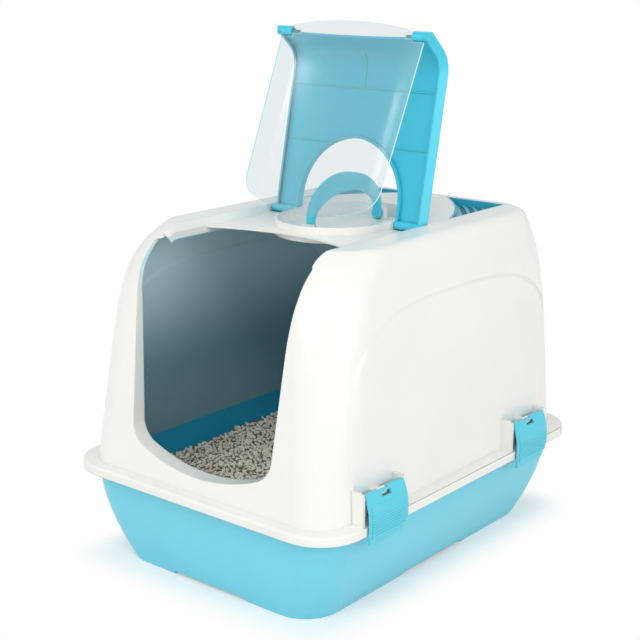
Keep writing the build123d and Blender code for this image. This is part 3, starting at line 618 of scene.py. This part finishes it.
def foot_reach(tree):
    """How far a place on the floor lies outside the tray's foot."""
    coordinates = tree.nodes.new("ShaderNodeTexCoord")
    x, y, _ = split(tree, coordinates.outputs["Object"])
    squares = []
    for value, half in ((x, FOOT_HALF_X), (y, FOOT_HALF_Y)):
        past = maths(tree, "MAXIMUM", maths(tree, "SUBTRACT", size_of(tree, value), half), 0.0)
        squares.append(maths(tree, "POWER", past, 2.0))
    return maths(tree, "SQRT", maths(tree, "ADD", *squares))


def seen_directly(tree):
    """1 for what the camera sees, itself or through glass or in a gloss."""
    path = tree.nodes.new("ShaderNodeLightPath")
    first = maths(tree, "MAXIMUM", path.outputs["Is Camera Ray"], path.outputs["Is Glossy Ray"])
    return maths(tree, "MAXIMUM", first, path.outputs["Is Transmission Ray"])


def make_floor():
    """A white floor that keeps the object's soft shadow and fades into the white room."""
    bpy.ops.mesh.primitive_plane_add(size=FLOOR_SIZE, location=(0, 0, 0))
    floor = bpy.context.object
    floor.name = "floor"
    material, tree, output = new_material("floor_paper")
    bounce = node(tree, "ShaderNodeBsdfDiffuse", Color=FLOOR_BOUNCE)
    white = node(tree, "ShaderNodeEmission", Color=PURE_WHITE, Strength=1.0)
    # The glow whitens the seen floor near the object, and its bluish tint is painted into the shadow
    # there
    glow = node(tree, "ShaderNodeEmission", Color=FLOOR_GLOW_AND_SHADOW_TINT, Strength=GLOW_STRENGTH)
    lit = node(tree, "ShaderNodeBsdfDiffuse", Color=FLOOR_NEAR)
    near = tree.nodes.new("ShaderNodeAddShader")
    tree.links.new(lit.outputs["BSDF"], near.inputs[0])
    tree.links.new(glow.outputs["Emission"], near.inputs[1])
    far = between(tree, foot_reach(tree), *SHADOW_REACH)
    shown = mixed_shader(tree, far, near.outputs["Shader"], white.outputs["Emission"])
    paper = mixed_shader(tree, seen_directly(tree), bounce.outputs["BSDF"], shown)
    tree.links.new(paper, output.inputs["Surface"])
    floor.data.materials.append(material)


make_floor()


def make_world():
    """A pale even room: white where it is seen, softer as light."""
    world = bpy.data.worlds.new("studio")
    bpy.context.scene.world = world
    world.use_nodes = True
    tree = world.node_tree
    tree.nodes.clear()
    output = tree.nodes.new("ShaderNodeOutputWorld")
    fill = node(tree, "ShaderNodeBackground", Color=ROOM_FILL, Strength=FILL_STRENGTH)
    white = node(tree, "ShaderNodeBackground", Color=PURE_WHITE, Strength=1.0)
    path = tree.nodes.new("ShaderNodeLightPath")
    seen = maths(tree, "MAXIMUM", path.outputs["Is Camera Ray"], path.outputs["Is Transmission Ray"])
    room = mixed_shader(tree, seen, fill.outputs["Background"], white.outputs["Background"])
    tree.links.new(room, output.inputs["Surface"])


make_world()


def add_lamp(name, place, aim, width, height, power, colour):
    """A soft lamp that points at a spot: places and sizes in metres, power in watts."""
    data = bpy.data.lights.new(name, "AREA")
    data.shape = "RECTANGLE"
    data.size = width
    data.size_y = height
    data.energy = power
    data.color = colour
    lamp = bpy.data.objects.new(name, data)
    bpy.context.scene.collection.objects.link(lamp)
    lamp.location = place
    lamp.rotation_mode = "QUATERNION"
    lamp.rotation_quaternion = (Vector(aim) - Vector(place)).to_track_quat("-Z", "Y")


add_lamp("key_soft", (2.3, -0.4, 1.0), (0, 0, 0.25), 1.5, 1.5, 14.5, WARM_LAMP)
add_lamp("front_soft", (-0.15, -2.4, 1.2), (0, 0, 0.25), 1.3, 1.3, 12.0, FRONT_LAMP)
add_lamp("high_soft", (0.9, -1.35, 2.2), (0, -0.1, 0.2), 0.7, 0.7, 9.5, WHITE_LAMP)
add_lamp("door_glint", (-1.42, -1.15, 1.22), (-0.09, -0.01, 0.49), 0.08, 0.70, 1.2, WHITE_LAMP)


def make_camera():
    """The photograph's view."""
    azimuth = math.radians(CAMERA_AZIMUTH)
    elevation = math.radians(CAMERA_ELEVATION)
    level = math.cos(elevation)
    back = Vector((math.sin(azimuth) * level, -math.cos(azimuth) * level, math.sin(elevation)))
    data = bpy.data.cameras.new("photo_camera")
    data.lens = CAMERA_LENS
    data.sensor_width = CAMERA_SENSOR
    data.clip_end = CAMERA_REACH
    camera = bpy.data.objects.new("photo_camera", data)
    bpy.context.scene.collection.objects.link(camera)
    camera.location = CAMERA_PLACE
    camera.rotation_mode = "QUATERNION"
    camera.rotation_quaternion = (-back).to_track_quat("-Z", "Y")
    bpy.context.scene.camera = camera


make_camera()
bpy.context.scene.view_settings.view_transform = "Standard"
